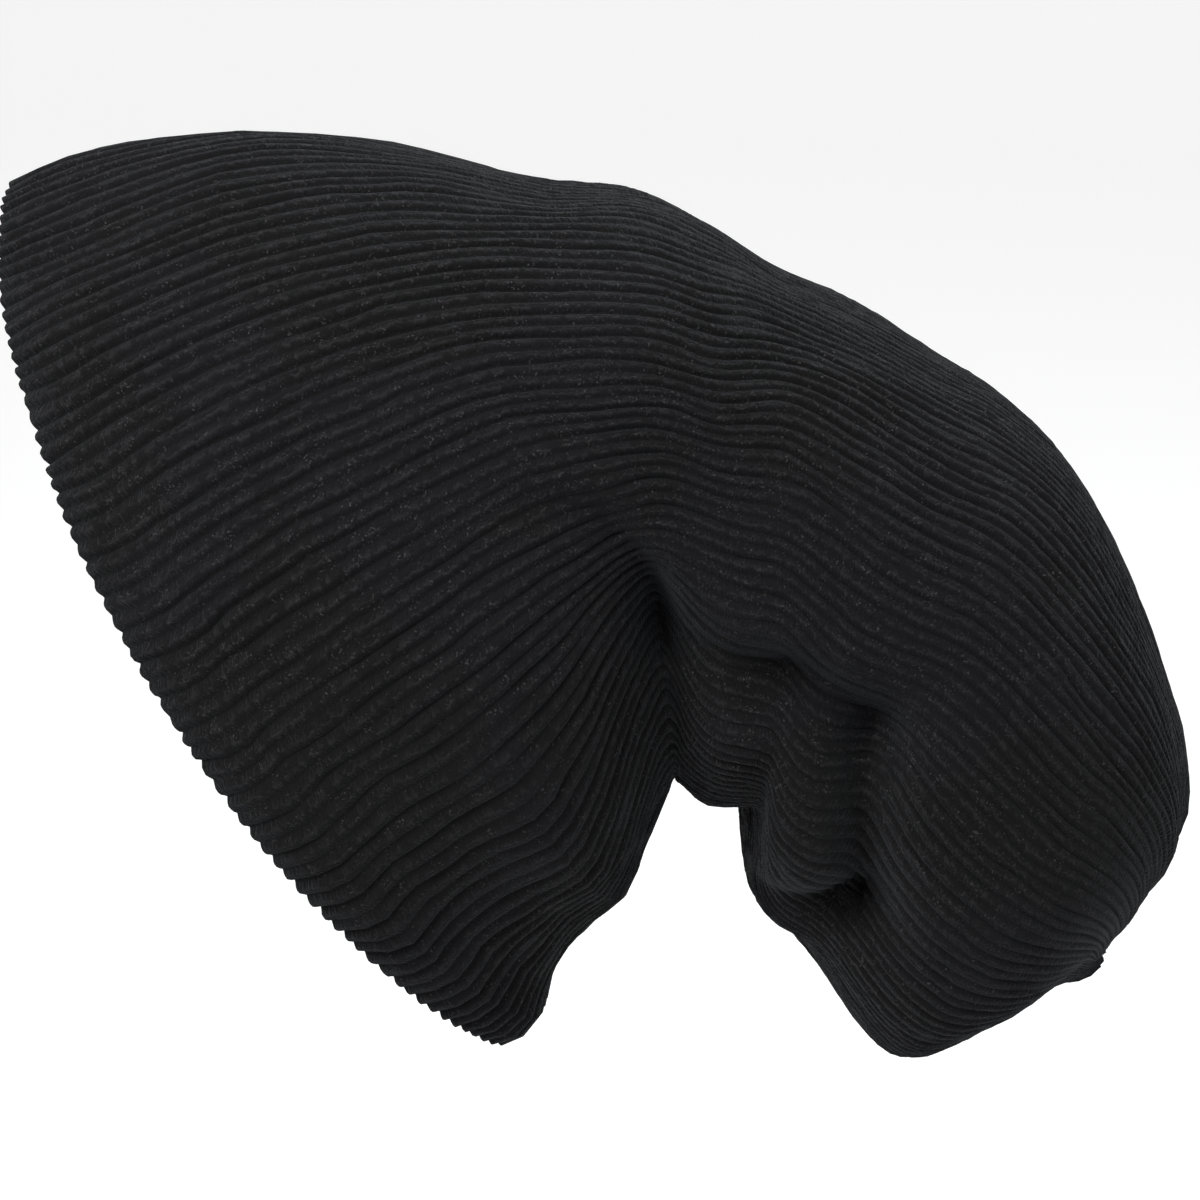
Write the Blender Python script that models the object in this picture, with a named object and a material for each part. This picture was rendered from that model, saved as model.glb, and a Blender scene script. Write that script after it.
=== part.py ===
"""A slouchy rib-knit beanie, held open at the rim as a head holds it.

Units are metres, +Z is up and the front of the hat looks along -X. The origin is
the middle of the rim, where the head goes in. The hat is one knitted tube: it
leaves the rim, passes over the back of the head, folds down on itself and ends
in a gathered crown, which a knot of yarn draws shut.

The tube is worked out from SECTIONS, a row for each ring of the tube, and from
FOLDS, a row for each crease or swelling in its sides.
"""

import math
from collections import namedtuple

import bmesh
import bpy
import numpy as np

MM = 0.001

# The knitting: each step round is half a modelled rib, and there are about three
# of these to every four real ribs. They flatten where the crown is gathered.
WALL_THICKNESS = 2.6 * MM
RIB_RELIEF = 1.6 * MM
ROUND_STEPS = 100
GATHERED_RIB = 0.2
GATHER_LENGTH = 0.08

# The nape stretches the ribs by this share, fading out at this place on the tube.
NAPE_STRETCH = 0.25
NAPE_STRETCH_ENDS = 0.45

# How far the slouch swings to the wearer's right of the head's middle plane.
FALL_TURN = math.radians(20)

# The knot of yarn that draws the crown shut, clear of the hole that it fills.
KNOT_RADIUS = 1.9 * MM
KNOT_SIDES = 10

# Each row is one ring of the tube, in millimetres and degrees.
# at: its place between the rim, 0, and the crown, 1
# turn: the swing of its own upright plane to the wearer's right
# top_x, top_z, low_x, low_z: its upper and lower ends in that plane
# left, right: its half widths to the wearer's left and right
# away: how far its middle lies to the right of that plane
# lead: how far its left side runs ahead of its middle, towards the crown
# narrow: 1 for a round ring, more for pointed ends, less for a squarer ring
# twist: how far the ribs have turned up the left side since the rim
Section = namedtuple(
    "Section", "at turn top_x top_z low_x low_z left right away lead narrow twist"
)
SECTIONS = (
    Section(0.000, 0, -50.6, 84.0, 51.4, -83.5, 69.5, 74, 0, 0, 1.46, 0),
    Section(0.030, 1, -41.6, 87.8, 56.4, -81.0, 71.5, 75, 0, 0, 1.40, 2),
    Section(0.080, 3, -28.0, 91.2, 59.2, -71.0, 74, 76, 0, 0, 1.29, 6),
    Section(0.170, 8, 4.0, 94.8, 67.0, -59.4, 76, 77, 0, 0, 1.11, 13),
    Section(0.215, 10, 18.8, 93.5, 73.2, -54.5, 76, 77, 0, 0, 1.04, 16),
    Section(0.260, 13, 32.5, 90.6, 75.8, -47.2, 75, 76, 0, 0, 0.98, 19),
    Section(0.340, 17, 57.5, 84.0, 81.0, -35.4, 73, 74, 0, 0, 0.91, 23),
    Section(0.400, 20, 75.5, 82.0, 83.5, -31.5, 70, 72, 0, 0, 0.85, 25),
    Section(0.455, 20, 90.0, 75.5, 90.0, -36.0, 69, 70, 0, 1, 0.85, 26),
    Section(0.510, 20, 104.0, 66.5, 99.6, -36.8, 69, 69, 0, 1, 0.85, 27),
    Section(0.565, 20, 118.5, 59.8, 100.0, -48.5, 68, 67, 0, 2, 0.85, 28),
    Section(0.620, 20, 134.5, 50.0, 101.8, -58.8, 67, 65, 0, 3, 0.85, 30),
    Section(0.675, 20, 148.5, 41.0, 110.0, -65.6, 65, 62, 0, 5, 0.85, 32),
    Section(0.730, 20, 160.5, 29.2, 121.5, -82.3, 62, 59, 0, 5, 0.85, 34),
    Section(0.785, 20, 170.2, 12.0, 129.5, -87.0, 58, 55, 0, 5, 0.87, 36),
    Section(0.840, 20, 178.5, -9.0, 140.3, -82.3, 51, 50, 0, 5, 0.90, 38),
    Section(0.890, 20, 184.0, -27.0, 149.7, -77.5, 41, 43, 2, 3, 0.95, 40),
    Section(0.930, 20, 184.7, -41.0, 156.5, -73.8, 28, 33, 4, 1, 1.00, 40),
    Section(0.965, 20, 177.3, -54.0, 161.5, -72.3, 15, 18, 4, 0, 1.00, 40),
    Section(0.985, 20, 171.7, -61.5, 164.0, -71.3, 8, 9, 4, 0, 1.00, 40),
    Section(1.000, 20, 170.3, -66.0, 167.3, -69.8, 3, 3, 4, 0, 1.00, 40),
)

# Each row is a crease or a swelling, in millimetres, seen square to the fall.
# side: -1 for the wearer's left, 1 for the right
# the start, middle and end of its line, and how deep it goes in at each
# above, below: how fast it fades on either side of its line
Fold = namedtuple(
    "Fold",
    "name side start_x start_z mid_x mid_z end_x end_z start_deep end_deep above below",
)
FOLDS = (
    Fold("pinch dent", -1, 61, 31, 70, 24, 77, 12, 3, 9, 8, 14),
    Fold("pinch pocket", -1, 77, 12, 79, 6, 80, -1, 8, 8, 6, 6),
    Fold("nape crease", -1, 79, 4, 80, -12, 82, -36, 9, 10, 8, 9),
    Fold("overhang", -1, 81, 5, 103, -1, 121, -13, 7, 10, 6, 13),
    Fold("left valley", -1, 121, -13, 120, -30, 119, -48, 10, 13, 8, 8),
    Fold("left pocket", -1, 102, -53, 110, -52, 118, -50, 11, 13, 6, 8),
    Fold("left lobe", -1, 95, -18, 101, -24, 106, -36, -5, -5, 13, 13),
    Fold("left belly", -1, 130, -34, 136, -44, 141, -54, -3, -3, 18, 18),
    Fold("right crease", 1, 74, 24, 80, 0, 84, -34, 6, 13, 10, 10),
    Fold("right valley", 1, 108, 4, 122, -14, 116, -52, 4, 9, 10, 12),
)

# Rows of the mesh: (from, to, steps) along the tube.
ROW_RUNS = ((0.0, 0.34, 6), (0.34, 0.455, 6), (0.455, 0.785, 11), (0.785, 1.0, 6))

# A fold fades out over this depth from the plane of the fall, in millimetres.
FOLD_FADE = 30

# How finely the curves are read, which the mesh's own steps don't change.
CURVE_STEPS = 24
RING_SAMPLES = 720
SLOPE_STEP = 0.002
SEAM_MERGE = 0.00001
NO_REACH = 0.000001


def smooth_values(at):
    """The columns of SECTIONS after the first, on smooth curves through the rows."""
    places = np.array([row.at for row in SECTIONS])
    values = np.array([row[1:] for row in SECTIONS], float)
    slopes = np.gradient(values, places, axis=0)
    at = min(max(at, 0.0), 1.0)
    low = min(int(np.searchsorted(places, at, side="right")) - 1, len(places) - 2)
    run = places[low + 1] - places[low]
    part = (at - places[low]) / run
    keep = (1 + 2 * part) * (1 - part) ** 2
    reach = part**2 * (3 - 2 * part)
    leave = part * (1 - part) ** 2 * run
    arrive = part**2 * (part - 1) * run
    return (
        keep * values[low]
        + reach * values[low + 1]
        + leave * slopes[low]
        + arrive * slopes[low + 1]
    )


def ring(at, rounds):
    """Points round one section. A round of 0 is its top, and it runs down the wearer's left."""
    row = Section(at, *smooth_values(at))
    angle = np.linspace(0, 2 * math.pi, RING_SAMPLES + 1)
    height = np.sign(np.cos(angle)) * np.abs(np.cos(angle)) ** min(row.narrow, 1)
    side = np.sign(np.sin(angle)) * np.abs(np.sin(angle)) ** row.narrow
    half_x, half_z = (row.top_x - row.low_x) / 2, (row.top_z - row.low_z) / 2
    half = math.hypot(half_x, half_z)
    along_x, along_z = half_z / half, -half_x / half
    x = (row.top_x + row.low_x) / 2 + half_x * height + along_x * row.lead * side
    y = row.away - np.where(side > 0, row.left * side, row.right * side)
    z = (row.top_z + row.low_z) / 2 + half_z * height + along_z * row.lead * side
    turn = math.radians(row.turn)
    points = MM * np.stack(
        [x * math.cos(turn) - y * math.sin(turn), x * math.sin(turn) + y * math.cos(turn), z],
        axis=1,
    )
    # Ribs lie evenly round the ring, but the nape stretches them near the rim.
    lengths = np.linalg.norm(np.diff(points, axis=0), axis=1)
    stretch = NAPE_STRETCH * max(0.0, 1 - at / NAPE_STRETCH_ENDS)
    lengths = lengths * (1 + stretch * height[1:])
    travelled = np.concatenate([[0], np.cumsum(lengths)])
    wanted = (np.asarray(rounds) - row.twist / 360) % 1 * travelled[-1]
    return np.stack([np.interp(wanted, travelled, points[:, k]) for k in range(3)], axis=1)


def fold_line(fold):
    """Points along one fold's line, and how deep the fold is at each."""
    part = np.linspace(0, 1, CURVE_STEPS)[:, None]
    start = np.array([fold.start_x, fold.start_z])
    middle = np.array([fold.mid_x, fold.mid_z])
    end = np.array([fold.end_x, fold.end_z])
    pull = 2 * middle - (start + end) / 2
    line = (1 - part) ** 2 * start + 2 * part * (1 - part) * pull + part**2 * end
    deep = fold.start_deep + (fold.end_deep - fold.start_deep) * part[:, 0]
    return line, deep


def fold_depth(points):
    """How far the folds move each point across the plane of the fall."""
    across = np.array([-math.sin(FALL_TURN), math.cos(FALL_TURN), 0])
    along = np.array([math.cos(FALL_TURN), math.sin(FALL_TURN), 0])
    depth = points @ across / MM
    seen = np.stack([points @ along, points[..., 2]], axis=-1) / MM
    moved = np.zeros(points.shape[:-1])
    for fold in FOLDS:
        line, deep = fold_line(fold)
        gap = seen[..., None, :] - line
        nearest = np.argmin((gap**2).sum(axis=-1), axis=-1)
        gap = np.take_along_axis(gap, nearest[..., None, None], axis=-2)[..., 0, :]
        heading = np.gradient(line, axis=0)[nearest]
        over = heading[..., 0] * gap[..., 1] - heading[..., 1] * gap[..., 0]
        reach = np.linalg.norm(heading, axis=-1) * np.linalg.norm(gap, axis=-1)
        over = over / np.maximum(reach, NO_REACH)
        width = (fold.above + fold.below) / 2 + over * (fold.above - fold.below) / 2
        shape = np.exp(-((gap**2).sum(axis=-1)) / width**2)
        body = np.clip(fold.side * depth / FOLD_FADE, 0, 1)
        moved -= fold.side * deep[nearest] * shape * body
    return moved[..., None] * across * MM


def skin(places, rounds, offset, relief):
    """A grid of points on the tube's middle surface, moved out by offset and ribbed."""
    rings = np.array([ring(at, rounds) for at in places])
    ahead = np.array([ring(min(at + SLOPE_STEP, 1), rounds) for at in places])
    behind = np.array([ring(max(at - SLOPE_STEP, 0), rounds) for at in places])
    round_slope = np.roll(rings, -1, axis=1) - np.roll(rings, 1, axis=1)
    normal = np.cross(round_slope, ahead - behind)
    normal /= np.linalg.norm(normal, axis=2, keepdims=True)
    ribs = np.where(np.arange(len(rounds)) % 2 == 0, 0.5, -0.5) * relief
    fade = np.clip((1 - np.asarray(places)) / GATHER_LENGTH, GATHERED_RIB, 1)
    out = offset + fade[:, None] * ribs[None, :]
    return rings + fold_depth(rings) + normal * out[..., None]


def row_places():
    """The places along the tube where the mesh has a row, closer together at the crease."""
    places = [0.0]
    for start, end, steps in ROW_RUNS:
        places.extend(np.linspace(start, end, steps + 1)[1:])
    return places


def add_wall(bm, points):
    """Roll a flat grid into the tube that the points describe, and close its seam."""
    rows, columns = points.shape[:2]
    sheet = bmesh.ops.create_grid(bm, x_segments=columns, y_segments=rows - 1, size=0.5)
    for vert in sheet["verts"]:
        column = round((vert.co.x + 0.5) * columns) % columns
        row = round((vert.co.y + 0.5) * (rows - 1))
        vert.co = points[row, column]


def make_object(name, bm, collection, material):
    mesh = bpy.data.meshes.new(name)
    bm.to_mesh(mesh)
    bm.free()
    mesh.shade_flat()
    obj = bpy.data.objects.new(name, mesh)
    collection.objects.link(obj)
    mesh.materials.append(material)
    return obj


def make_material(name, color, roughness):
    material = bpy.data.materials.new(name)
    material.use_nodes = True
    shader = material.node_tree.nodes["Principled BSDF"]
    shader.inputs["Base Color"].default_value = (*color, 1)
    shader.inputs["Roughness"].default_value = roughness
    shader.inputs["Metallic"].default_value = 0.0
    return material


def make_knit_shell(collection, material):
    """The whole knitted tube, as a wall with an outer and an inner skin."""
    places = row_places()
    rounds = np.arange(ROUND_STEPS) / ROUND_STEPS
    bm = bmesh.new()
    add_wall(bm, skin(places, rounds, WALL_THICKNESS / 2, RIB_RELIEF))
    add_wall(bm, skin(places, rounds, -WALL_THICKNESS / 2, RIB_RELIEF))
    bmesh.ops.remove_doubles(bm, verts=bm.verts, dist=SEAM_MERGE)
    # The rim's two edges are joined to each other, and so are the crown's.
    middle = ring(0.5, [0, 0.5]).mean(axis=0)[0]
    open_edges = [edge for edge in bm.edges if edge.is_boundary]
    rim_edges = [edge for edge in open_edges if edge.verts[0].co.x < middle]
    crown_edges = [edge for edge in open_edges if edge.verts[0].co.x >= middle]
    for edges in (rim_edges, crown_edges):
        bmesh.ops.bridge_loops(bm, edges=edges)
    bmesh.ops.recalc_face_normals(bm, faces=bm.faces)
    return make_object("knit_shell", bm, collection, material)


def make_crown_knot(collection, material):
    """The knot in the small hole that the gathered crown leaves."""
    bm = bmesh.new()
    bmesh.ops.create_uvsphere(
        bm, u_segments=KNOT_SIDES, v_segments=KNOT_SIDES // 2, radius=KNOT_RADIUS
    )
    knot = make_object("crown_knot", bm, collection, material)
    knot.location = ring(1, np.linspace(0, 1, KNOT_SIDES, endpoint=False)).mean(axis=0)
    return knot


def main():
    for obj in list(bpy.data.objects):
        bpy.data.objects.remove(obj, do_unlink=True)
    collection = bpy.data.collections.new("slouchy_beanie")
    bpy.context.scene.collection.children.link(collection)
    make_knit_shell(collection, make_material("black_rib_knit", (0.012, 0.012, 0.013), 0.9))
    make_crown_knot(collection, make_material("black_yarn", (0.010, 0.010, 0.011), 0.9))


main()
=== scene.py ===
# %% [markdown]
# # A slouchy rib-knit beanie
# The hat is one knitted tube with no cuff. It leaves the rim, passes over the back
# of the head, folds down on itself and is gathered shut at its end. This lesson
# loads the plain model, then knits a finer skin over it, rib by rib.

# %% Load the plain model
import math
from collections import namedtuple

import bpy
import numpy as np
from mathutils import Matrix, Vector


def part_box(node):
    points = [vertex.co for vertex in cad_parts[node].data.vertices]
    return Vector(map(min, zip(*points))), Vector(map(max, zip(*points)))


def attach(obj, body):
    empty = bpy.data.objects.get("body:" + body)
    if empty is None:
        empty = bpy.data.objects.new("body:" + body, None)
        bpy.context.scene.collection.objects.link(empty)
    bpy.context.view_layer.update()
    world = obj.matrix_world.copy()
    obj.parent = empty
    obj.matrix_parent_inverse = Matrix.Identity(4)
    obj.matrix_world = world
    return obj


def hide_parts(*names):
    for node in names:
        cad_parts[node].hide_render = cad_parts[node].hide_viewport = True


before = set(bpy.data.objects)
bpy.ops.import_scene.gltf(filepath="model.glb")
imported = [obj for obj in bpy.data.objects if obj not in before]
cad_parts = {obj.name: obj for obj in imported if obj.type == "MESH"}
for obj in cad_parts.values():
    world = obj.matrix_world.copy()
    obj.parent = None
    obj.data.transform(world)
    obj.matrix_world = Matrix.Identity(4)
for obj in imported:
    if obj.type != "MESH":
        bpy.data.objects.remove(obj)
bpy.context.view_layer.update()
scene = bpy.context.scene
MM = 0.001
print("plain model:", sorted(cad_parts))

# %% [markdown]
# ## The camera
# The hat is seen from the wearer's left and a little from above, through a long
# lens, so that near and far edges keep almost the same scale. The camera looks at a
# point beside the hat's middle, because the hat fills the whole frame.

# %% Set up the camera
VIEW_TURN = math.radians(18)
VIEW_RISE = math.radians(8)
VIEW_DISTANCE = 2.4
FRAME_WIDTH = 0.24
AIM_RIGHT = 68.7 * MM
AIM_UP = 2.2 * MM
SENSOR = 36

to_right = np.array([math.cos(VIEW_TURN), math.sin(VIEW_TURN), 0])
to_camera = np.array(
    [
        math.sin(VIEW_TURN) * math.cos(VIEW_RISE),
        -math.cos(VIEW_TURN) * math.cos(VIEW_RISE),
        math.sin(VIEW_RISE),
    ]
)
to_top = np.cross(to_camera, to_right)
aim = to_right * AIM_RIGHT + to_top * AIM_UP
bpy.ops.object.camera_add(
    location=aim + to_camera * VIEW_DISTANCE,
    rotation=(math.pi / 2 - VIEW_RISE, 0, VIEW_TURN),
)
camera = bpy.context.object
camera.data.sensor_width = SENSOR
camera.data.lens = SENSOR * VIEW_DISTANCE / FRAME_WIDTH
scene.camera = camera
print("lens:", round(camera.data.lens), "mm")

# %% [markdown]
# ## The studio
# A pale sheet of paper runs under the hat and curves up behind it. Black wool gives
# back little light, so the lamps are large and soft: one high on the left, one low
# in front to open the shadows, and one behind on the right that draws a pale line
# along the top edge.

# %% Make the paper sweep
SWEEP_DROP = 0.26
SWEEP_WIDTH = 9.0
SWEEP_BEND = 1.2
SWEEP_SEGMENTS = 24


def deselect_all():
    """Leave nothing selected, so that the next operator acts on one piece only."""
    if bpy.context.object and bpy.context.object.mode != "OBJECT":
        bpy.ops.object.mode_set(mode="OBJECT")
    bpy.ops.object.select_all(action="DESELECT")


deselect_all()
bpy.ops.mesh.primitive_plane_add(size=SWEEP_WIDTH, location=(0, 0, -SWEEP_DROP))
sweep = bpy.context.object
sweep.name = "paper_sweep"
bpy.ops.object.mode_set(mode="EDIT")
bpy.ops.mesh.select_all(action="DESELECT")
bpy.ops.mesh.select_mode(type="EDGE")
bpy.ops.object.mode_set(mode="OBJECT")
for edge in sweep.data.edges:
    ends = [sweep.data.vertices[v].co.y for v in edge.vertices]
    edge.select = min(ends) > 0
bpy.ops.object.mode_set(mode="EDIT")
bpy.ops.mesh.extrude_region_move(
    TRANSFORM_OT_translate={"value": (0, 0, SWEEP_WIDTH / 2)}
)
bpy.ops.object.mode_set(mode="OBJECT")
bend = sweep.modifiers.new("bend", "BEVEL")
bend.width = SWEEP_BEND
bend.segments = SWEEP_SEGMENTS
bpy.ops.object.modifier_apply(modifier="bend")
bpy.ops.object.shade_smooth()
print("paper sweep:", len(sweep.data.polygons), "faces")

# %% Hang the lamps
Lamp = namedtuple("Lamp", "name right up near size power tint")
LAMPS = (
    Lamp("key_lamp", -0.9, 1.0, 1.5, 1.2, 30, (1.0, 0.99, 0.98)),
    Lamp("fill_lamp", 0.7, 0.1, 1.6, 1.6, 4, (0.97, 0.98, 1.0)),
    Lamp("edge_lamp", 1.0, 1.1, -0.9, 0.8, 11, (0.92, 0.96, 1.0)),
)
forward = np.array([to_camera[0], to_camera[1], 0]) / math.cos(VIEW_RISE)
for lamp in LAMPS:
    place = aim + to_right * lamp.right + forward * lamp.near + np.array([0, 0, lamp.up])
    bpy.ops.object.light_add(type="AREA", location=place)
    light = bpy.context.object
    light.name = lamp.name
    light.data.shape = "DISK"
    light.data.size = lamp.size
    light.data.energy = lamp.power
    light.data.color = lamp.tint
    down = aim - place
    turn = math.atan2(down[1], down[0]) - math.pi / 2
    tip = math.atan2(math.hypot(down[0], down[1]), -down[2])
    light.rotation_euler = (tip, 0, turn)

print("lamps:", [lamp.name for lamp in LAMPS])

# %% [markdown]
# Light also comes from all round, as in a room with white walls. It fades towards
# the floor, so that the parts that hang down keep a dark underside. The node that
# fades it reads how far each ray points up or down.

# %% Light the room
FADE_HEIGHT = 0.4
LIGHT_FROM_FLOOR = 0.22
LIGHT_FROM_CEILING = 0.72

world = bpy.data.worlds.new("studio")
world.use_nodes = True
room = world.node_tree
background = room.nodes["Background"]
background.inputs["Color"].default_value = (1, 1, 1, 1)
ray = room.nodes.new("ShaderNodeTexCoord")
ray_parts = room.nodes.new("ShaderNodeSeparateXYZ")
fade = room.nodes.new("ShaderNodeMapRange")
fade.inputs["From Min"].default_value = -FADE_HEIGHT
fade.inputs["From Max"].default_value = FADE_HEIGHT
fade.inputs["To Min"].default_value = LIGHT_FROM_FLOOR
fade.inputs["To Max"].default_value = LIGHT_FROM_CEILING
room.links.new(ray.outputs["Generated"], ray_parts.inputs[0])
room.links.new(ray_parts.outputs["Z"], fade.inputs["Value"])
room.links.new(fade.outputs["Result"], background.inputs["Strength"])
scene.world = world
scene.view_settings.view_transform = "Standard"
print("room light:", LIGHT_FROM_FLOOR, "below,", LIGHT_FROM_CEILING, "above")

# %% [markdown]
# ## The form of the tube
# A soft thing is easier to describe in slices than as a whole. Each row of this
# table is one ring of the tube from rim to crown: which way it faces, where its
# upper and lower ends are, and how wide it is to each side, in millimetres and
# degrees. Away moves a ring sideways, and lead brings its left side forward. Narrow
# gives it pointed ends above 1 and fuller ones below, and twist is how far the ribs
# have turned round it. Smooth curves run through the rows, so a ring can be asked
# for anywhere.

# %% The rings of the tube
Section = namedtuple(
    "Section", "at turn top_x top_z low_x low_z left right away lead narrow twist"
)
SECTIONS = (
    Section(0.000, 0, -50.6, 84.0, 51.4, -83.5, 69.5, 74, 0, 0, 1.46, 0),
    Section(0.030, 1, -41.6, 87.8, 56.4, -81.0, 71.5, 75, 0, 0, 1.40, 0),
    Section(0.080, 3, -28.0, 91.2, 59.2, -71.0, 74, 76, 0, 0, 1.29, 0.5),
    Section(0.170, 8, 4.0, 94.8, 67.0, -59.4, 76, 77, 0, 0, 1.11, 6.5),
    Section(0.215, 10, 18.8, 93.5, 73.2, -54.5, 76, 77, 0, 0, 1.04, 10.5),
    Section(0.260, 13, 32.5, 90.6, 75.8, -47.2, 75, 76, 0, 0, 0.98, 14.5),
    Section(0.340, 17, 57.5, 84.0, 81.0, -35.4, 73, 74, 0, 0, 0.91, 20),
    Section(0.400, 20, 75.5, 82.0, 83.5, -31.5, 70, 72, 0, 0, 0.85, 22),
    Section(0.455, 20, 90.0, 75.5, 90.0, -36.0, 69, 70, 0, 1, 0.85, 23),
    Section(0.510, 20, 104.0, 66.5, 99.6, -36.8, 69, 69, 0, 1, 0.85, 23.5),
    Section(0.565, 20, 118.5, 59.8, 100.0, -48.5, 68, 67, 0, 2, 0.85, 24.5),
    Section(0.620, 20, 134.5, 50.0, 101.8, -58.8, 67, 65, 0, 3, 0.85, 26.5),
    Section(0.675, 20, 148.5, 41.0, 110.0, -65.6, 65, 62, 0, 5, 0.85, 28.5),
    Section(0.730, 20, 160.5, 29.2, 121.5, -82.3, 62, 59, 0, 5, 0.85, 30.5),
    Section(0.785, 20, 170.2, 12.0, 129.5, -87.0, 58, 55, 0, 5, 0.87, 32.5),
    Section(0.840, 20, 178.5, -9.0, 140.3, -82.3, 51, 50, 0, 5, 0.90, 34.5),
    Section(0.890, 20, 184.0, -27.0, 149.7, -77.5, 41, 43, 2, 3, 0.95, 36.5),
    Section(0.930, 20, 184.7, -41.0, 157.5, -75.0, 28, 33, 4, 1, 1.00, 36.5),
    Section(0.965, 20, 177.3, -54.0, 163.0, -75.0, 15, 18, 4, 0, 1.00, 36.5),
    Section(0.985, 20, 171.7, -61.5, 166.0, -74.6, 8, 9, 4, 0, 1.00, 36.5),
    Section(1.000, 20, 170.3, -66.0, 168.6, -72.6, 3, 3, 4, 0, 1.00, 36.5),
)
RING_SAMPLES = 1440


def smooth_values(at):
    """The columns of SECTIONS after the first, on smooth curves through the rows."""
    places = np.array([row.at for row in SECTIONS])
    values = np.array([row[1:] for row in SECTIONS], float)
    slopes = np.gradient(values, places, axis=0)
    at = min(max(at, 0.0), 1.0)
    low = min(int(np.searchsorted(places, at, side="right")) - 1, len(places) - 2)
    run = places[low + 1] - places[low]
    part = (at - places[low]) / run
    keep = (1 + 2 * part) * (1 - part) ** 2
    reach = part**2 * (3 - 2 * part)
    leave = part * (1 - part) ** 2 * run
    arrive = part**2 * (part - 1) * run
    return (
        keep * values[low]
        + reach * values[low + 1]
        + leave * slopes[low]
        + arrive * slopes[low + 1]
    )


print("sections:", len(SECTIONS))

# %% [markdown]
# Where the cloth is pulled into folds, it drags its ribs along. This second table
# slides them round their ring without changing its form: where the drag is
# strongest, how far it reaches each way, and what share of the round it moves them.

# %% How the folds drag the ribs
Drift = namedtuple("Drift", "name at round before after above below shift")
DRIFTS = (
    Drift("front ribs", 0.300, 0.120, 0.150, 0.200, 0.120, 0.100, -0.012),
    Drift("shoulder ribs", 0.430, 0.180, 0.100, 0.060, 0.080, 0.080, -0.024),
    Drift("rim ribs", 0.270, 0.450, 0.180, 0.110, 0.080, 0.120, -0.036),
    Drift("pinch ribs", 0.375, 0.355, 0.075, 0.040, 0.035, 0.050, 0.016),
    Drift("nape ribs", 0.375, 0.430, 0.085, 0.040, 0.060, 0.060, 0.042),
    Drift("lobe ribs", 0.640, 0.400, 0.050, 0.032, 0.060, 0.080, 0.020),
)


def drift(at, rounds):
    """How far the folds have dragged each rib, as a share of the round, up the left side."""
    moved = np.zeros(len(rounds))
    for row in DRIFTS:
        along = (at - row.at) / (row.before if at < row.at else row.after)
        gap = (rounds - row.round + 0.5) % 1 - 0.5
        over = gap / np.where(gap < 0, row.above, row.below)
        moved += row.shift * np.exp(-(over**2) - along**2)
    return moved


print("drifts:", [row.name for row in DRIFTS])


# %% One ring of the tube
def ring(at, rounds):
    """Points round one ring. A round of 0 is its top, and it runs down the wearer's left."""
    rounds = np.asarray(rounds, float)
    row = Section(at, *smooth_values(at))
    angle = np.linspace(0, 2 * math.pi, RING_SAMPLES + 1)
    height = np.sign(np.cos(angle)) * np.abs(np.cos(angle)) ** min(row.narrow, 1)
    side = np.sign(np.sin(angle)) * np.abs(np.sin(angle)) ** row.narrow
    half_x, half_z = (row.top_x - row.low_x) / 2, (row.top_z - row.low_z) / 2
    half = math.hypot(half_x, half_z)
    along_x, along_z = half_z / half, -half_x / half
    x = (row.top_x + row.low_x) / 2 + half_x * height + along_x * row.lead * side
    y = row.away - np.where(side > 0, row.left * side, row.right * side)
    z = (row.top_z + row.low_z) / 2 + half_z * height + along_z * row.lead * side
    turn = math.radians(row.turn)
    points = MM * np.stack(
        [x * math.cos(turn) - y * math.sin(turn), x * math.sin(turn) + y * math.cos(turn), z],
        axis=1,
    )
    lengths = np.linalg.norm(np.diff(points, axis=0), axis=1)
    travelled = np.concatenate([[0], np.cumsum(lengths)])
    wanted = (rounds - row.twist / 360 - drift(at, rounds)) % 1 * travelled[-1]
    return np.stack([np.interp(wanted, travelled, points[:, k]) for k in range(3)], axis=1)


rim_steps = np.diff(ring(0, np.linspace(0, 1, 200)), axis=0)
print("girth of the rim:", round(np.linalg.norm(rim_steps, axis=1).sum() / MM), "mm")

# %% [markdown]
# ## The folds
# Where the tube bends down, its near side buckles: a deep pinch, a crease down to
# the nape, an edge that hangs over the lobe below it, and a dark valley and pocket
# beside that lobe. Each fold is a short line with a depth, and pushes the cloth in
# across the plane in which the slouch falls. Both skins move together, so the wall
# keeps its thickness however deep the fold is.

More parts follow.
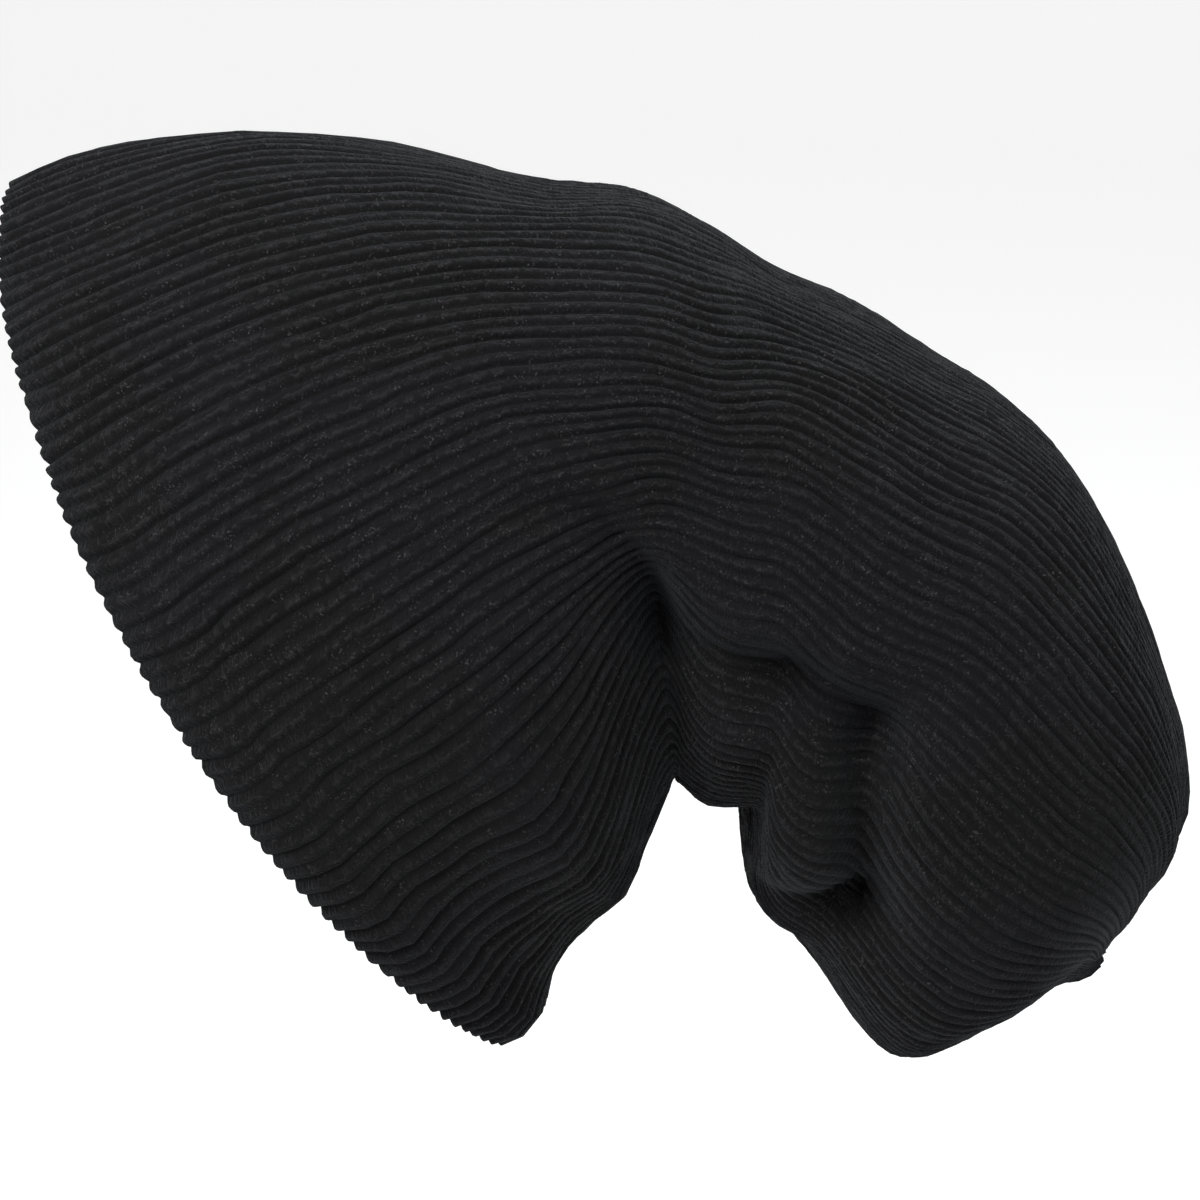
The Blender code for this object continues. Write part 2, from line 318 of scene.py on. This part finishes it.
# %% The fold table and how a fold moves the cloth
FALL_TURN = math.radians(20)
FOLD_FADE = 30
CURVE_STEPS = 24
NO_GAP = 1e-6
Fold = namedtuple(
    "Fold",
    "name side start_x start_z mid_x mid_z end_x end_z start_deep end_deep above below power",
)
FOLDS = (
    Fold("pinch dent", -1, 60, 31, 69, 25, 77, 12, 5, 9, 4, 11, 1.8),
    Fold("pinch", -1, 76.0, 14, 78.0, 8, 79.5, 1, 6, 8, 3, 4, 1.4),
    Fold("nape crease", -1, 79, 5, 80.5, -12, 82, -36, 8, 9, 8, 9, 2.0),
    Fold("overhang", -1, 80.5, 6, 90, 0.5, 103, -2, 6, 7, 2.5, 11, 1.6),
    Fold("overhang end", -1, 103, -2, 112, -7.5, 121, -14, 7, 10, 3, 10, 1.6),
    Fold("overhang roll", -1, 84, 11, 96, 7, 113, -1, -2, -2.5, 7, 3, 2.0),
    Fold("left valley", -1, 121.5, -14, 119, -30, 120, -47, 10, 13, 6, 7, 1.7),
    Fold("left pocket", -1, 101, -53, 109, -52, 119, -50, 13, 15, 3, 7, 1.8),
    Fold("left lobe", -1, 95, -18, 101, -22, 106, -30, -5, -5, 12, 12, 2.0),
    Fold("left ball", -1, 99, -36, 104, -39, 108, -41, -4, -4, 8, 8, 2.0),
    Fold("left belly", -1, 130, -34, 136, -44, 141, -54, -3, -3, 16, 16, 2.0),
    Fold("right crease", 1, 74, 24, 80, 0, 84, -34, 6, 13, 10, 10, 2.0),
    Fold("right valley", 1, 108, 4, 122, -14, 116, -52, 4, 9, 10, 12, 2.0),
)


def fold_line(fold):
    """Points along one fold's line, and how deep the fold is at each."""
    part = np.linspace(0, 1, CURVE_STEPS)[:, None]
    start = np.array([fold.start_x, fold.start_z])
    middle = np.array([fold.mid_x, fold.mid_z])
    end = np.array([fold.end_x, fold.end_z])
    pull = 2 * middle - (start + end) / 2
    line = (1 - part) ** 2 * start + 2 * part * (1 - part) * pull + part**2 * end
    deep = fold.start_deep + (fold.end_deep - fold.start_deep) * part[:, 0]
    return line, deep


def fold_depth(points):
    """How far the folds move each point across the plane of the fall."""
    across = np.array([-math.sin(FALL_TURN), math.cos(FALL_TURN), 0])
    along = np.array([math.cos(FALL_TURN), math.sin(FALL_TURN), 0])
    depth = points @ across / MM
    seen = np.stack([points @ along, points[..., 2]], axis=-1) / MM
    moved = np.zeros(points.shape[:-1])
    for fold in FOLDS:
        line, deep = fold_line(fold)
        steps = np.diff(line, axis=0)
        best = np.full(points.shape[:-1], np.inf)
        shift = np.zeros(points.shape[:-1])
        for number, (corner, step) in enumerate(zip(line[:-1], steps)):
            gap = seen - corner
            part = np.clip((gap @ step) / (step @ step), 0, 1)
            gap = gap - part[..., None] * step
            far = (gap**2).sum(axis=-1)
            over = step[0] * gap[..., 1] - step[1] * gap[..., 0]
            over = over / np.maximum(np.linalg.norm(step) * np.sqrt(far), NO_GAP)
            width = (fold.above + fold.below + over * (fold.above - fold.below)) / 2
            size = deep[number] + (deep[number + 1] - deep[number]) * part
            shape = size * np.exp(-((far / width**2) ** (fold.power / 2)))
            nearer = far < best
            best = np.where(nearer, far, best)
            shift = np.where(nearer, shape, shift)
        body = np.clip(fold.side * depth / FOLD_FADE, 0, 1)
        moved -= fold.side * shift * body
    return moved[..., None] * across * MM


print("folds:", len(FOLDS))

# %% [markdown]
# ## The ribs
# This is a two-by-two rib: two columns of knit stitches stand up as a band, and the
# two purl columns between the bands sink into a groove. The standing columns part a
# little as well, which leaves a fainter groove down the middle of each band. Twelve
# columns of the mesh draw that, and they crowd together at the grooves. The relief
# is highest at the rim and lowest at the crown. Each rib also sways to its sides and
# swells a little unevenly, and the cloth wavers, because nothing holds it evenly.

# %% The rib's cross-section
RIBS = 68
RIB_RELIEF = 1.1 * MM
WALL_THICKNESS = 2.6 * MM
Stitch = namedtuple("Stitch", "across height")
RIB_SHAPE = (
    Stitch(0.000, -0.66),
    Stitch(0.060, -0.30),
    Stitch(0.130, 0.20),
    Stitch(0.210, 0.46),
    Stitch(0.310, 0.46),
    Stitch(0.410, 0.10),
    Stitch(0.500, -0.30),
    Stitch(0.590, 0.10),
    Stitch(0.690, 0.46),
    Stitch(0.790, 0.46),
    Stitch(0.870, 0.20),
    Stitch(0.940, -0.30),
)
Relief = namedtuple("Relief", "at share")
RELIEFS = (Relief(0.0, 0.95), Relief(0.3, 0.88), Relief(0.5, 0.82), Relief(1.0, 0.70))
SWAY = 0.06
SWAY_STEPS = 34
UNEVEN_RIB = 0.28
UNEVEN_STITCH = 0.07 * MM
GATHERED_RIB = 0.35
GATHER_LENGTH = 0.06
WAVES = 14
WAVE_TURNS = (2, 14)
WAVE_LENGTHS = (-7, 7)
WAVE_HEIGHT = 0.45 * MM
SLOPE_STEP = 0.002
random = np.random.default_rng(7)


def waver(places, rounds):
    """A gentle unevenness of the cloth that joins up with itself all the way round."""
    total = np.zeros((len(places), len(rounds)))
    for wave in range(WAVES):
        turns = random.integers(*WAVE_TURNS)
        lengths = random.uniform(*WAVE_LENGTHS)
        start = random.uniform(0, 2 * math.pi)
        swing = np.multiply.outer(places, np.ones(len(rounds))) * lengths * 2 * math.pi
        total += np.sin(swing + turns * rounds[None, :] * 2 * math.pi + start)
    return total / math.sqrt(WAVES) * WAVE_HEIGHT


def along_each_rib(places, steps):
    """A number that wanders along every rib by itself, at each place."""
    knots = random.normal(size=(steps + 1, RIBS))
    where = np.linspace(0, 1, steps + 1)
    return np.array([np.interp(places, where, knots[:, rib]) for rib in range(RIBS)]).T


def sway(places):
    """How far each column strays sideways, so that no groove runs quite straight."""
    grooves = along_each_rib(places, SWAY_STEPS) * SWAY / RIBS
    after = np.roll(grooves, -1, axis=1)
    columns = [grooves + (after - grooves) * stitch.across for stitch in RIB_SHAPE]
    return np.stack(columns, axis=2).reshape(len(places), -1)


def skin(places, rounds, offset, relief, wave):
    """Points of one skin: the rings, folded, then moved out by the wall and the ribs."""
    rounds = np.broadcast_to(rounds, (len(places), np.shape(rounds)[-1]))
    pairs = list(zip(places, rounds))
    rings = np.array([ring(at, turns) for at, turns in pairs])
    ahead = np.array([ring(min(at + SLOPE_STEP, 1), turns) for at, turns in pairs])
    behind = np.array([ring(max(at - SLOPE_STEP, 0), turns) for at, turns in pairs])
    round_slope = np.roll(rings, -1, axis=1) - np.roll(rings, 1, axis=1)
    normal = np.cross(round_slope, ahead - behind)
    normal /= np.linalg.norm(normal, axis=2, keepdims=True)
    fade = np.clip((1 - np.asarray(places)) / GATHER_LENGTH, GATHERED_RIB, 1)
    out = offset + fade[:, None] * relief + wave
    return rings + fold_depth(rings) + normal * out[..., None], ahead - behind, normal


rib_rounds = np.array(
    [(rib + stitch.across) / RIBS for rib in range(RIBS) for stitch in RIB_SHAPE]
)
rib_heights = np.tile([stitch.height for stitch in RIB_SHAPE], RIBS) * RIB_RELIEF
print("ribs:", RIBS, "in", len(rib_rounds), "columns of the mesh")

# %% [markdown]
# ## Rolling a sheet into the hat
# A flat grid is added with one cell for each step along and round the tube. Each of
# its points is then moved to its place on the skin, which rolls the sheet up, and
# merging the two edges that meet closes it. The outer skin needs fine steps for the
# ribs. The inner one is seen only inside the rim, so it is coarser.

# %% Steps along the tube, and the helper that rolls a sheet
ROW_RUNS = ((0.0, 0.34, 16), (0.34, 0.46, 26), (0.46, 0.80, 44), (0.80, 1.0, 18))
COURSES = 250
SEAM_MERGE = 0.000002


def row_places(runs):
    """The places along the tube where the mesh has a row, closer together at the folds."""
    places = [runs[0][0]]
    for start, end, steps in runs:
        places.extend(np.linspace(start, end, steps + 1)[1:])
    return np.array(places)


def roll_sheet(name, points, rounds, places, bake_strip):
    """A grid rolled into the tube that the points describe, with a map of its stitches.

    A second map lays each sheet out in a strip of its own, for baking.
    """
    rows, columns = points.shape[:2]
    deselect_all()
    bpy.ops.mesh.primitive_grid_add(x_subdivisions=columns, y_subdivisions=rows - 1, size=1)
    sheet = bpy.context.object
    sheet.name = name
    mesh = sheet.data
    flat = np.empty(len(mesh.vertices) * 3)
    mesh.vertices.foreach_get("co", flat)
    flat = flat.reshape(-1, 3)
    column = np.round((flat[:, 0] + 0.5) * columns).astype(int)
    row = np.round((flat[:, 1] + 0.5) * (rows - 1)).astype(int)
    mesh.vertices.foreach_set("co", points[row, column % columns].ravel())
    corner = np.empty(len(mesh.loops), int)
    mesh.loops.foreach_get("vertex_index", corner)
    whole = np.append(rounds, 1.0)
    stitches = mesh.uv_layers[0]
    stitches.name = "stitches"
    map_points = np.stack([whole[column] * RIBS, places[row] * COURSES], axis=1)[corner]
    stitches.data.foreach_set("uv", map_points.ravel())
    bake = mesh.uv_layers.new(name="OFBake")
    share = row / (rows - 1) * (bake_strip[1] - bake_strip[0]) + bake_strip[0]
    bake_points = np.stack([column / columns, share], axis=1)[corner]
    bake.data.foreach_set("uv", bake_points.ravel())
    mesh.uv_layers.active = stitches
    stitches.active_render = True
    bpy.ops.object.mode_set(mode="EDIT")
    bpy.ops.mesh.select_all(action="SELECT")
    bpy.ops.mesh.remove_doubles(threshold=SEAM_MERGE)
    bpy.ops.object.mode_set(mode="OBJECT")
    return sheet


# %% [markdown]
# The rim is where the knitting was cast on. Each rib ends there in a small loop, so
# the edge is a row of low teeth, and it rolls inwards a little. Three short rows
# carry the outer skin round that edge before it meets the inner one.

# %% The outer skin, rim and all
OUTER_STRIP = (0.0, 0.8)
TOOTH = 0.35 * MM
TOOTH_BASE = 0.6
TOOTH_AT_EDGE = 0.8
LIP_STEP = 0.002
Lip = namedtuple("Lip", "beyond inward")
RIM_LIP = (Lip(1.10, 0.20), Lip(0.56, 0.62), Lip(0.16, 0.85))

outer_places = row_places(ROW_RUNS)
outer_wave = waver(outer_places, rib_rounds)
outer_wave += random.normal(size=outer_wave.shape) * UNEVEN_STITCH
share = np.interp(outer_places, [row.at for row in RELIEFS], [row.share for row in RELIEFS])
uneven_ribs = 1 + UNEVEN_RIB * np.repeat(
    along_each_rib(outer_places, SWAY_STEPS), len(RIB_SHAPE), axis=1
)
relief = share[:, None] * uneven_ribs * rib_heights[None, :]
outer, headings, normals = skin(
    outer_places, rib_rounds + sway(outer_places), WALL_THICKNESS / 2, relief, outer_wave
)
rim_heading = -headings[0] / np.linalg.norm(headings[0], axis=1, keepdims=True)
teeth = TOOTH * (rib_heights / RIB_RELIEF + TOOTH_BASE)[:, None]
lip_rows = []
for lip in RIM_LIP:
    inward = normals[0] * WALL_THICKNESS * lip.inward
    lip_rows.append(outer[0] - inward + rim_heading * teeth * lip.beyond)
outer[0] = outer[0] + rim_heading * teeth * TOOTH_AT_EDGE
outer = np.concatenate([np.array(lip_rows[::-1]), outer])
lip_places = -LIP_STEP * np.arange(len(RIM_LIP), 0, -1)
outer_sheet = roll_sheet(
    "beanie_knit", outer, rib_rounds, np.concatenate([lip_places, outer_places]), OUTER_STRIP
)
print("outer skin:", len(outer_sheet.data.polygons), "faces")

# %% The inner skin
INNER_STRIP = (0.82, 1.0)
INNER_RIB = (-0.5, 0.2, 0.0, 0.2)
INNER_COLUMNS = RIBS * len(INNER_RIB)
INNER_RUNS = ((0.0, 0.34, 10), (0.34, 0.46, 8), (0.46, 0.80, 14), (0.80, 1.0, 6))

inner_places = row_places(INNER_RUNS)
inner_rounds = np.arange(INNER_COLUMNS) / INNER_COLUMNS
inner_heights = np.tile(INNER_RIB, RIBS) * RIB_RELIEF
inner, _, _ = skin(inner_places, inner_rounds, -WALL_THICKNESS / 2, inner_heights[None, :], 0)
inner_sheet = roll_sheet("inner_knit", inner, inner_rounds, inner_places, INNER_STRIP)
print("inner skin:", len(inner_sheet.data.polygons), "faces")

# %% [markdown]
# Both skins become one wall. The rim's two edges are bridged with a narrow band of
# faces, and so are the two small edges at the crown.

# %% Join the skins into one wall
MIDDLE_RING = 0.6
deselect_all()
inner_sheet.select_set(True)
outer_sheet.select_set(True)
bpy.context.view_layer.objects.active = outer_sheet
bpy.ops.object.join()
beanie = outer_sheet
middle_x = ring(MIDDLE_RING, np.array([0.0, 0.5])).mean(axis=0)[0]


def bridge_open_edges(piece, wanted):
    """Bridge the open edges whose first point is wanted, and say how many they are."""
    deselect_all()
    piece.select_set(True)
    bpy.context.view_layer.objects.active = piece
    bpy.ops.object.mode_set(mode="EDIT")
    bpy.ops.mesh.select_mode(type="EDGE")
    bpy.ops.mesh.select_all(action="DESELECT")
    bpy.ops.mesh.select_non_manifold(
        extend=False, use_wire=False, use_boundary=True,
        use_multi_face=False, use_non_contiguous=False, use_verts=False,
    )
    bpy.ops.object.mode_set(mode="OBJECT")
    for edge in piece.data.edges:
        if edge.select and not wanted(piece.data.vertices[edge.vertices[0]].co):
            edge.select = False
    kept = sum(edge.select for edge in piece.data.edges)
    bpy.ops.object.mode_set(mode="EDIT")
    bpy.ops.mesh.bridge_edge_loops()
    bpy.ops.object.mode_set(mode="OBJECT")
    return kept


rim_edges = bridge_open_edges(beanie, lambda point: point.x < middle_x)
crown_edges = bridge_open_edges(beanie, lambda point: point.x >= middle_x)
bpy.ops.object.mode_set(mode="EDIT")
bpy.ops.mesh.select_all(action="SELECT")
bpy.ops.mesh.normals_make_consistent(inside=False)
bpy.ops.object.mode_set(mode="OBJECT")
bpy.ops.object.shade_smooth()
beanie.data.calc_loop_triangles()
print("bridged:", rim_edges, "edges at the rim,", crown_edges, "at the crown")
print("beanie:", len(beanie.data.loop_triangles), "triangles")

# %% [markdown]
# ## The knot in the crown
# A length of the same yarn is drawn through the last stitches and tied off inside
# the small hole that they leave. It is a few tight turns of yarn, so rings of
# yarn turned against each other give its form.

# %% Tie the knot
KNOT_RADIUS = 1.35 * MM
YARN_RADIUS = 0.5 * MM
KNOT_TILTS = ((20, 0), (80, 25), (-50, 70), (10, 95))
knot_low, knot_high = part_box("crown_knot")
knot_middle = (np.array(knot_low) + np.array(knot_high)) / 2
knot_turns = []
for tilt_x, tilt_y in KNOT_TILTS:
    deselect_all()
    bpy.ops.mesh.primitive_torus_add(
        location=knot_middle,
        rotation=(math.radians(tilt_x), math.radians(tilt_y), 0),
        major_radius=KNOT_RADIUS,
        minor_radius=YARN_RADIUS,
        major_segments=28,
        minor_segments=10,
    )
    bpy.ops.object.transform_apply(location=True, rotation=True, scale=True)
    knot_turns.append(bpy.context.object)
deselect_all()
for turn_of_yarn in knot_turns:
    turn_of_yarn.select_set(True)
knot = knot_turns[0]
bpy.context.view_layer.objects.active = knot
bpy.ops.object.join()
knot.name = "crown_yarn"
bpy.ops.object.shade_smooth()
print("knot:", len(knot.data.polygons), "faces")

# %% [markdown]
# ## The finish
# Both pieces are one black yarn, and its dye is bluer in some places. Over that the
# material paints light and shade: short light dashes down the middle of each column
# of stitches are a painted highlight, light specks are painted glints off loose
# fibres, and the grooves get a plain, slightly darker colour that is painted shade.
# The stitches are too fine to model, so a node group draws them from the map that was
# laid over the skins, where 1 is a rib across and a course along.


# %% Helpers for nodes
def math_node(tree, operation, first, second=None, third=None):
    """One step of arithmetic in a node tree, from sockets or numbers."""
    node = tree.nodes.new("ShaderNodeMath")
    node.operation = operation
    for number, value in enumerate((first, second, third)):
        if value is None:
            continue
        if isinstance(value, (int, float)):
            node.inputs[number].default_value = value
        else:
            tree.links.new(value, node.inputs[number])
    return node.outputs[0]


def ramp(tree, value, low, high):
    """A value stretched so that low is 0 and high is 1."""
    node = tree.nodes.new("ShaderNodeMapRange")
    node.interpolation_type = "SMOOTHSTEP"
    node.inputs["From Min"].default_value = low
    node.inputs["From Max"].default_value = high
    tree.links.new(value, node.inputs["Value"])
    return node.outputs["Result"]


def noise(tree, vector, scale, detail, roughness=0.5):
    """A noise texture. Its colour holds three noises that don't repeat each other."""
    node = tree.nodes.new("ShaderNodeTexNoise")
    node.inputs["Scale"].default_value = scale
    node.inputs["Detail"].default_value = detail
    node.inputs["Roughness"].default_value = roughness
    tree.links.new(vector, node.inputs["Vector"])
    return node.outputs


def mix_colors(tree, factor, first, second):
    """Mix two colours, each a colour or another node's socket."""
    node = tree.nodes.new("ShaderNodeMix")
    node.data_type = "RGBA"
    for number, value in ((0, factor), (6, first), (7, second)):
        if isinstance(value, tuple):
            node.inputs[number].default_value = value
        else:
            tree.links.new(value, node.inputs[number])
    return node.outputs[2]


print("helpers ready")

# %% [markdown]
# The group starts by letting the stitches stray a little from their straight
# columns and even courses, as hand-worn knitting does. It then measures how far each
# point is from the groove beside its rib, and from the fainter groove down the
# rib's middle.

# %% A group for the knit stitches
STRAY_SCALE = 0.9
STRAY_ACROSS = 0.22
STRAY_ALONG = 2.6
GROOVE_FROM = 0.415
GROOVE_RISE = 15.0
MIDDLE_WIDTH = 0.055
MIDDLE_RISE = 8.0
GAPS_FROM = 0.38
GAPS_RISE = 5.0

stitch_group = bpy.data.node_groups.new("knit_stitches", "ShaderNodeTree")
stitch_group.interface.new_socket("Map", in_out="INPUT", socket_type="NodeSocketVector")
for output_name in ("Height", "Groove", "Chance", "Crest"):
    stitch_group.interface.new_socket(
        output_name, in_out="OUTPUT", socket_type="NodeSocketFloat"
    )
group_in = stitch_group.nodes.new("NodeGroupInput")
group_out = stitch_group.nodes.new("NodeGroupOutput")


def stitch_math(operation, first, second=None, third=None):
    """One step of arithmetic inside the stitch group."""
    return math_node(stitch_group, operation, first, second, third)


def apart(vector):
    """The X, Y and Z of a vector, as sockets."""
    node = stitch_group.nodes.new("ShaderNodeSeparateXYZ")
    stitch_group.links.new(vector, node.inputs[0])
    return node.outputs


def level_off(value, rise, softness):
    """A value that rises in a slope and levels off softly at 1."""
    return stitch_math("SMOOTH_MIN", stitch_math("MULTIPLY", value, rise), 1.0, softness)


def above(value, start):
    """How far a value is above a start, and 0 below it."""
    return stitch_math("MAXIMUM", stitch_math("SUBTRACT", value, start), 0.0)


def from_middle(value):
    """How far a value is from the middle between the whole numbers beside it."""
    part = stitch_math("FRACT", value)
    return stitch_math("ABSOLUTE", stitch_math("SUBTRACT", part, 0.5))


def strayed(straight, stray, size):
    """A place on the map, moved by a noise."""
    offset = stitch_math("MULTIPLY", stitch_math("SUBTRACT", stray, 0.5), size)
    return stitch_math("ADD", straight, offset)


map_place = group_in.outputs["Map"]
straight = apart(map_place)
strays = apart(noise(stitch_group, map_place, STRAY_SCALE, 2.0)["Color"])
across = strayed(straight["X"], strays["X"], STRAY_ACROSS)
along = strayed(straight["Y"], strays["Y"], STRAY_ALONG)
from_top = from_middle(across)
groove = level_off(above(from_top, GROOVE_FROM), GROOVE_RISE, 0.1)
to_middle = stitch_math("MAXIMUM", stitch_math("SUBTRACT", MIDDLE_WIDTH, from_top), 0.0)
middle = stitch_math("MULTIPLY", to_middle, MIDDLE_RISE)
gaps = level_off(above(strays["Z"], GAPS_FROM), GAPS_RISE, 0.2)
grooves = stitch_math("MULTIPLY", stitch_math("MAXIMUM", groove, middle), gaps)
stitch_group.links.new(grooves, group_out.inputs["Groove"])
print("stitch group so far:", len(stitch_group.nodes), "nodes")

# %% [markdown]
# Each rib has two columns of stitches, and each stitch is a V of two legs. A leg is
# round along its course and dips at both of its sides. A random number for each leg
# makes some of them stand higher, and the material also paints those legs lighter as
# a painted highlight. The crest is the middle of the column, where that painted
# highlight lies.

# %% The V of each stitch
LEG_SLANT = 1.3
LEG_RISE = 6.0
CREST_FALL = 3.6
LEG_LOWEST = 0.15
LEG_SPREAD = 0.6

columns_across = stitch_math("MULTIPLY", across, 2.0)
leg = from_middle(columns_across)
slanted = stitch_math("SUBTRACT", along, stitch_math("MULTIPLY", leg, LEG_SLANT))
in_stitch = stitch_math("FRACT", slanted)
round_leg = stitch_math("SINE", stitch_math("MULTIPLY", in_stitch, math.pi))
inner_dip = level_off(leg, LEG_RISE, 0.3)
outer_dip = level_off(stitch_math("SUBTRACT", 0.5, leg), LEG_RISE, 0.3)
leg_height = stitch_math("MULTIPLY", stitch_math("MULTIPLY", round_leg, inner_dip), outer_dip)
crest = stitch_math("SUBTRACT", 1.0, level_off(leg, CREST_FALL, 0.2))

cell = stitch_group.nodes.new("ShaderNodeCombineXYZ")
legs_across = stitch_math("MULTIPLY", columns_across, 2.0)
stitch_group.links.new(stitch_math("FLOOR", legs_across), cell.inputs["X"])
stitch_group.links.new(stitch_math("FLOOR", slanted), cell.inputs["Y"])
chance = stitch_group.nodes.new("ShaderNodeTexWhiteNoise")
chance.noise_dimensions = "2D"
stitch_group.links.new(cell.outputs[0], chance.inputs["Vector"])
uneven = stitch_math("MULTIPLY_ADD", chance.outputs["Value"], LEG_SPREAD, LEG_LOWEST)
uneven_height = stitch_math("MULTIPLY", leg_height, uneven)
stitch_group.links.new(uneven_height, group_out.inputs["Height"])
stitch_group.links.new(chance.outputs["Value"], group_out.inputs["Chance"])
stitch_group.links.new(crest, group_out.inputs["Crest"])
print("stitch group:", len(stitch_group.nodes), "nodes")

# %% [markdown]
# The material lays the colours over each other: the black dye and its bluer
# patches, then the painted highlight dashes on the crests, the painted glint specks,
# and last the painted shade of the grooves. The stitches and the fibres are relief,
# from a Bump node. Wool has hardly any gloss, but a little sheen, which is the light
# that its fuzz scatters at the edges.

# %% The black rib knit
KNIT_BLACK = (0.0056, 0.0056, 0.0056, 1)
KNIT_BLUE = (0.0069, 0.0068, 0.0081, 1)
KNIT_PAINTED_HIGHLIGHT = (0.0200, 0.0198, 0.0212, 1)
KNIT_GROOVE_SHADE = (0.0054, 0.0054, 0.0055, 1)
KNIT_PAINTED_GLINT = (0.0520, 0.0520, 0.0540, 1)
KNIT_SHEEN = (0.75, 0.82, 0.95, 1)
GLINT_SHARE = 0.9
FIBRE_HEIGHT = 1.1
RELIEF_DEPTH = 0.42 * MM

knit = bpy.data.materials.new("black_rib_knit")
knit.use_nodes = True
tree = knit.node_tree
shader = tree.nodes["Principled BSDF"]
place = tree.nodes.new("ShaderNodeTexCoord").outputs["Object"]
stitch_map = tree.nodes.new("ShaderNodeUVMap")
stitch_map.uv_map = "stitches"
stitches = tree.nodes.new("ShaderNodeGroup")
stitches.node_tree = stitch_group
tree.links.new(stitch_map.outputs["UV"], stitches.inputs["Map"])

patches = ramp(tree, noise(tree, place, 22, 3)["Fac"], 0.42, 0.6)
yarn = mix_colors(tree, patches, KNIT_BLACK, KNIT_BLUE)
# Painted highlight: the crest of each column is coloured lighter, leg by leg, as if lit.
highlight_legs = ramp(tree, stitches.outputs["Chance"], 0.15, 1.0)
highlight_dashes = math_node(tree, "MULTIPLY", highlight_legs, stitches.outputs["Crest"])
yarn = mix_colors(tree, highlight_dashes, yarn, KNIT_PAINTED_HIGHLIGHT)
# Painted highlight: small light specks are painted as glints off loose fibres.
fuzzy_places = ramp(tree, noise(tree, place, 330, 2)["Fac"], 0.42, 0.62)
glints = ramp(tree, noise(tree, place, 1900, 1, 0.6)["Fac"], 0.60, 0.72)
painted_glints = math_node(tree, "MULTIPLY", fuzzy_places, glints)
painted_glints = math_node(tree, "MULTIPLY", painted_glints, GLINT_SHARE)
yarn = mix_colors(tree, painted_glints, yarn, KNIT_PAINTED_GLINT)
# Painted shade: the grooves are coloured plain and a little darker than the yarn.
yarn = mix_colors(tree, stitches.outputs["Groove"], yarn, KNIT_GROOVE_SHADE)
tree.links.new(yarn, shader.inputs["Base Color"])

fibres = math_node(tree, "MULTIPLY", noise(tree, place, 1100, 3, 0.75)["Fac"], FIBRE_HEIGHT)
bump = tree.nodes.new("ShaderNodeBump")
bump.inputs["Strength"].default_value = 1.0
bump.inputs["Distance"].default_value = RELIEF_DEPTH
knit_height = math_node(tree, "ADD", stitches.outputs["Height"], fibres)
tree.links.new(knit_height, bump.inputs["Height"])
tree.links.new(bump.outputs["Normal"], shader.inputs["Normal"])
shader.inputs["Roughness"].default_value = 0.9
shader.inputs["Specular IOR Level"].default_value = 0.12
shader.inputs["Sheen Weight"].default_value = 0.04
shader.inputs["Sheen Roughness"].default_value = 0.45
shader.inputs["Sheen Tint"].default_value = KNIT_SHEEN
print("knit material:", len(tree.nodes), "nodes")

# %% [markdown]
# Each piece now rides on the model's one body and takes the place of its plain
# solid.

# %% Give the pieces their finish and their place in the model
beanie.data.materials.clear()
beanie.data.materials.append(knit)
knot.data.materials.clear()
knot.data.materials.append(knit)
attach(beanie, "root")
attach(knot, "root")
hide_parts("knit_shell")
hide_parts("crown_knot")

print("pieces in place:", beanie.name, knot.name)

# %% [markdown]
# The paper glows a little, so that it stays white behind a hat that takes up most
# of the light. It isn't seen by the rays that light the hat, because white paper so
# near would grey its underside.

# %% Whiten the paper
PAPER_WHITE = (0.86, 0.86, 0.86, 1)
PAPER_GLOW = 0.3

paper = bpy.data.materials.new("pale_paper")
paper.use_nodes = True
paper_shader = paper.node_tree.nodes["Principled BSDF"]
paper_shader.inputs["Base Color"].default_value = PAPER_WHITE
paper_shader.inputs["Roughness"].default_value = 0.95
paper_shader.inputs["Emission Color"].default_value = (1, 1, 1, 1)
paper_shader.inputs["Emission Strength"].default_value = PAPER_GLOW
sweep.data.materials.append(paper)
sweep.visible_diffuse = False
print("paper glow:", PAPER_GLOW)
